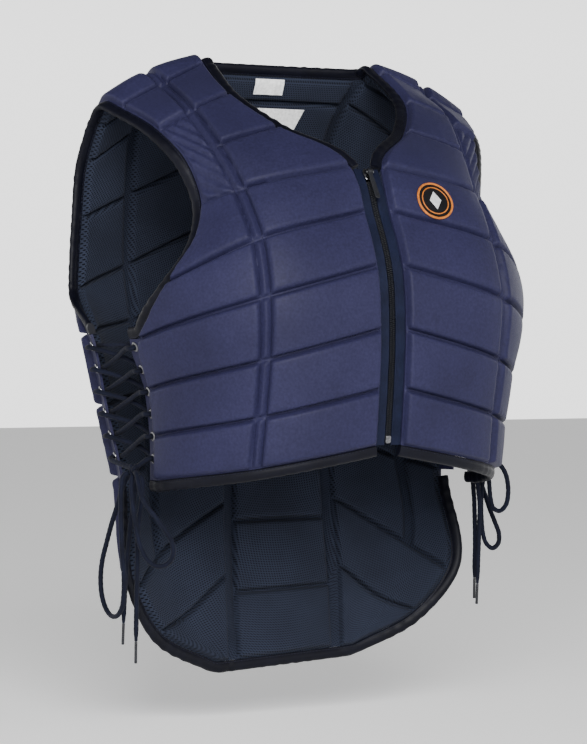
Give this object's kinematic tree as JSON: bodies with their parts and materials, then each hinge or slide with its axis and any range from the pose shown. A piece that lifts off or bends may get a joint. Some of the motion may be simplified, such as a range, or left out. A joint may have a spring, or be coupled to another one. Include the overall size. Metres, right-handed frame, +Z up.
{
  "type": "riding body protector",
  "caption": "Zip-front riding body protector of quilted foam blocks with laced sides, mesh lining, bound edges and a long rounded tail flap.",
  "frame": {"origin": "midway between the shoulder straps, at the height where their inner faces rest on the shoulders", "axes": "+Z up, -Y the way the wearer faces, +X the wearer's left"},
  "size_m": [0.4286, 0.3024, 0.5867],
  "materials": {
    "cover": "navy satin",
    "lining": "dark navy mesh",
    "binding": "smooth black tape",
    "steel": "bright nickel",
    "lace": "braided cord",
    "tape": "woven tape",
    "teeth": "satin",
    "label": "woven",
    "patch": "embroidered"
  },
  "bodies": {
    "vest": {"front_shell_left": "cover", "front_shell_right": "cover", "back_shell": "cover", "front_lining_left": "lining", "front_lining_right": "lining", "back_lining": "lining", "neck_binding": "binding", "armhole_binding_left": "binding", "armhole_binding_right": "binding", "hem_binding_left": "binding", "hem_binding_right": "binding", "tail_binding": "binding", "eyelet_front_1_left": "steel", "eyelet_front_1_right": "steel", "eyelet_front_2_left": "steel", "eyelet_front_2_right": "steel", "eyelet_front_3_left": "steel", "eyelet_front_3_right": "steel", "eyelet_front_4_left": "steel", "eyelet_front_4_right": "steel", "eyelet_front_5_left": "steel", "eyelet_front_5_right": "steel", "eyelet_front_6_left": "steel", "eyelet_front_6_right": "steel", "eyelet_back_1_left": "steel", "eyelet_back_1_right": "steel", "eyelet_back_2_left": "steel", "eyelet_back_2_right": "steel", "eyelet_back_3_left": "steel", "eyelet_back_3_right": "steel", "eyelet_back_4_left": "steel", "eyelet_back_4_right": "steel", "eyelet_back_5_left": "steel", "eyelet_back_5_right": "steel", "eyelet_back_6_left": "steel", "eyelet_back_6_right": "steel", "lacing_left": "lace", "lacing_right": "lace", "bow_loop_right_1": "lace", "bow_loop_right_2": "lace", "bow_loop_left_1": "lace", "bow_loop_left_2": "lace", "lace_tail_right_1": "lace", "lace_tail_right_2": "lace", "lace_tail_left_1": "lace", "lace_tail_left_2": "lace", "aglet_right_1": "lace", "aglet_right_2": "lace", "aglet_left_1": "lace", "aglet_left_2": "lace", "zip_tape_left": "tape", "zip_tape_right": "tape", "zip_teeth_left": "teeth", "zip_teeth_right": "teeth", "zip_slider": "steel", "zip_bottom_stop": "steel", "neck_label": "label", "hang_label": "label", "chest_patch": "patch"},
    "pull": {"zip_pull": "binding"}
  },
  "joints": [
    {"name": "zip_pull_swing", "type": "hinge", "parent": "vest", "child": "pull", "pos_m": [0, -0.14552, -0.0808], "axis": [-1, 0, 0], "range_deg": [0, 150]}
  ]
}
